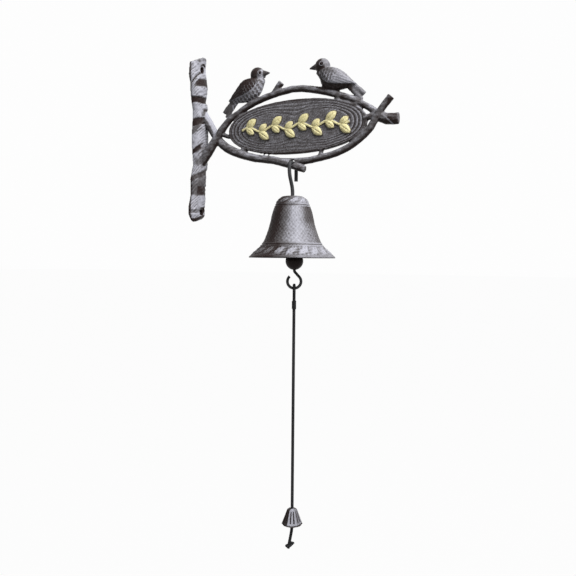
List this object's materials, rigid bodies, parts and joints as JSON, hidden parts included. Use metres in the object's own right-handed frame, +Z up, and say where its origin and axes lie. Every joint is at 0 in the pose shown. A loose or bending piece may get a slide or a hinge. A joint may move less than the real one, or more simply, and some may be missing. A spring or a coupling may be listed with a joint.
{
  "type": "wall-mounted door bell with a pull cord",
  "caption": "Cast-iron bell that hangs from a branch-shaped wall bracket with two birds and is rung by a cord with a weight.",
  "frame": {"origin": "on the wall plane, midway between the two screw holes", "axes": "+X out of the wall along the sign, +Y to the back of the sign, +Z up"},
  "size_m": [0.2164, 0.085, 0.5047],
  "materials": {
    "bracket": "dark pewter over cast texture",
    "bell_hook": "satin black",
    "bell": "dark pewter, softly hammered",
    "clapper_rod": "satin black",
    "clapper_ball": "dark cast surface",
    "pull_cord": "black waxed cord",
    "cord_seizing": "black thread",
    "pull_weight": "dark pewter",
    "stop_knot": "black waxed cord",
    "end_knot": "black waxed cord"
  },
  "bodies": {
    "bracket": {"bracket": "bracket"},
    "hook": {"bell_hook": "bell_hook"},
    "bell": {"bell": "bell"},
    "clapper": {"clapper_rod": "clapper_rod", "clapper_ball": "clapper_ball"},
    "pull": {"pull_cord": "pull_cord", "cord_seizing": "cord_seizing", "pull_weight": "pull_weight", "stop_knot": "stop_knot", "end_knot": "end_knot"}
  },
  "joints": [
    {"name": "hook_swing", "type": "hinge", "parent": "bracket", "child": "hook", "pos_m": [0.111, 0, -0.02845], "axis": [0, 1, 0], "range_deg": [-35, 35]},
    {"name": "bell_turn", "type": "hinge", "parent": "hook", "child": "bell", "pos_m": [0.111, 0, -0.07], "axis": [0, 0, 1], "continuous": true},
    {"name": "clapper_swing", "type": "hinge", "parent": "hook", "child": "clapper", "pos_m": [0.1136, 0, -0.07105], "axis": [0, 1, 0], "range_deg": [-23.5, 27.5]},
    {"name": "pull_swing", "type": "hinge", "parent": "clapper", "child": "pull", "pos_m": [0.1136, 0, -0.1512], "axis": [0.9063, 0.4226, 0], "range_deg": [-40, 40]}
  ]
}
